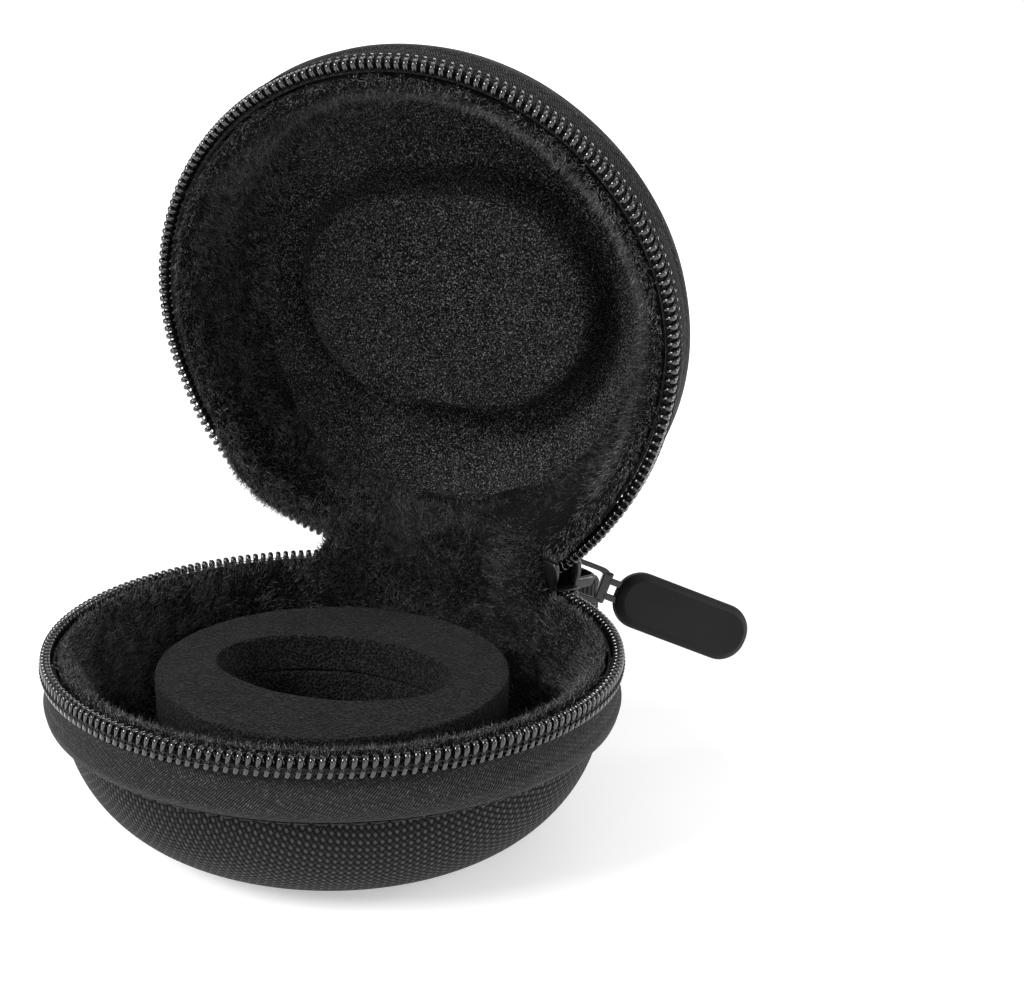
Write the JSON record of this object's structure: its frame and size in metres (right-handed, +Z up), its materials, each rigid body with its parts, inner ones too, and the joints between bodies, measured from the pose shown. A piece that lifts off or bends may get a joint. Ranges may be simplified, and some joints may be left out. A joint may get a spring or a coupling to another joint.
{
  "type": "watch travel case",
  "caption": "Round two-half travel case with a fabric hinge, a zip round the rim, plush lining, foam rings for one watch and a ribbon loop; shown open.",
  "frame": {"origin": "centre of the flat foot ring of the lower half, on the surface the case stands on", "axes": "+Z up, +Y from the case's middle towards its hinge, +X to the right seen from the opening side"},
  "size_m": [0.1146, 0.1273, 0.1332],
  "materials": {
    "cover_weave": "coarse ballistic weave",
    "moulded_board": "matt",
    "plush": "plush",
    "zip_tape": "fine twill",
    "zip_coil": "gloss",
    "thread": "twisted thread",
    "slider_metal": "semi-gloss",
    "grip_rubber": "matt",
    "ribbon": "grosgrain",
    "ring_foam": "foam"
  },
  "bodies": {
    "base": {"base_cover": "cover_weave", "base_shell": "moulded_board", "base_wall_lining": "plush", "base_floor_lining": "plush", "base_zip_tape": "zip_tape", "base_zip_coil": "zip_coil", "base_coil_cord": "thread", "base_seam_thread": "thread", "hinge_strip": "cover_weave", "hinge_lining": "plush"},
    "lid": {"lid_cover": "cover_weave", "lid_shell": "moulded_board", "lid_wall_lining": "plush", "lid_floor_lining": "plush", "lid_zip_tape": "zip_tape", "lid_zip_coil": "zip_coil", "lid_coil_cord": "thread", "lid_seam_thread": "thread", "lid_tape_end_right": "zip_tape", "lid_tape_end_left": "zip_tape"},
    "slider": {"slider_body": "slider_metal", "slider_bridge": "slider_metal"},
    "pull": {"pull_link": "slider_metal", "pull_grip": "grip_rubber"},
    "loop": {"carry_loop": "ribbon"},
    "ring_lower": {"foam_ring_lower": "ring_foam"},
    "ring_upper": {"foam_ring_upper": "ring_foam"}
  },
  "joints": [
    {"name": "lid_hinge", "type": "hinge", "parent": "base", "child": "lid", "pos_m": [0, 0.0475, 0.0348], "axis": [-1, 0, 0], "range_deg": [-75, 40], "deforming": ["hinge_strip", "hinge_lining", "lid_tape_end_right", "lid_tape_end_left"]},
    {"name": "slider_travel", "type": "hinge", "parent": "base", "child": "slider", "pos_m": [0, 0, 0.034], "axis": [0, 0, 1], "range_deg": [-294, 0]},
    {"name": "pull_swing", "type": "hinge", "parent": "slider", "child": "pull", "pos_m": [0.03077, 0.04738, 0.034], "axis": [0.2388, 0.3676, 0.8988], "range_deg": [-56, 22]},
    {"name": "loop_flex", "type": "hinge", "parent": "base", "child": "loop", "pos_m": [0.0131, 0.0512, 0.0253], "axis": [0, 0, 1], "range_deg": [0, 22]},
    {"name": "ring_lower_lift", "type": "slide", "parent": "base", "child": "ring_lower", "axis": [0, 0, 1], "range_m": [0, 0.01]},
    {"name": "ring_upper_lift", "type": "slide", "parent": "ring_lower", "child": "ring_upper", "axis": [0, 0, 1], "range_m": [0, 0.012]}
  ]
}
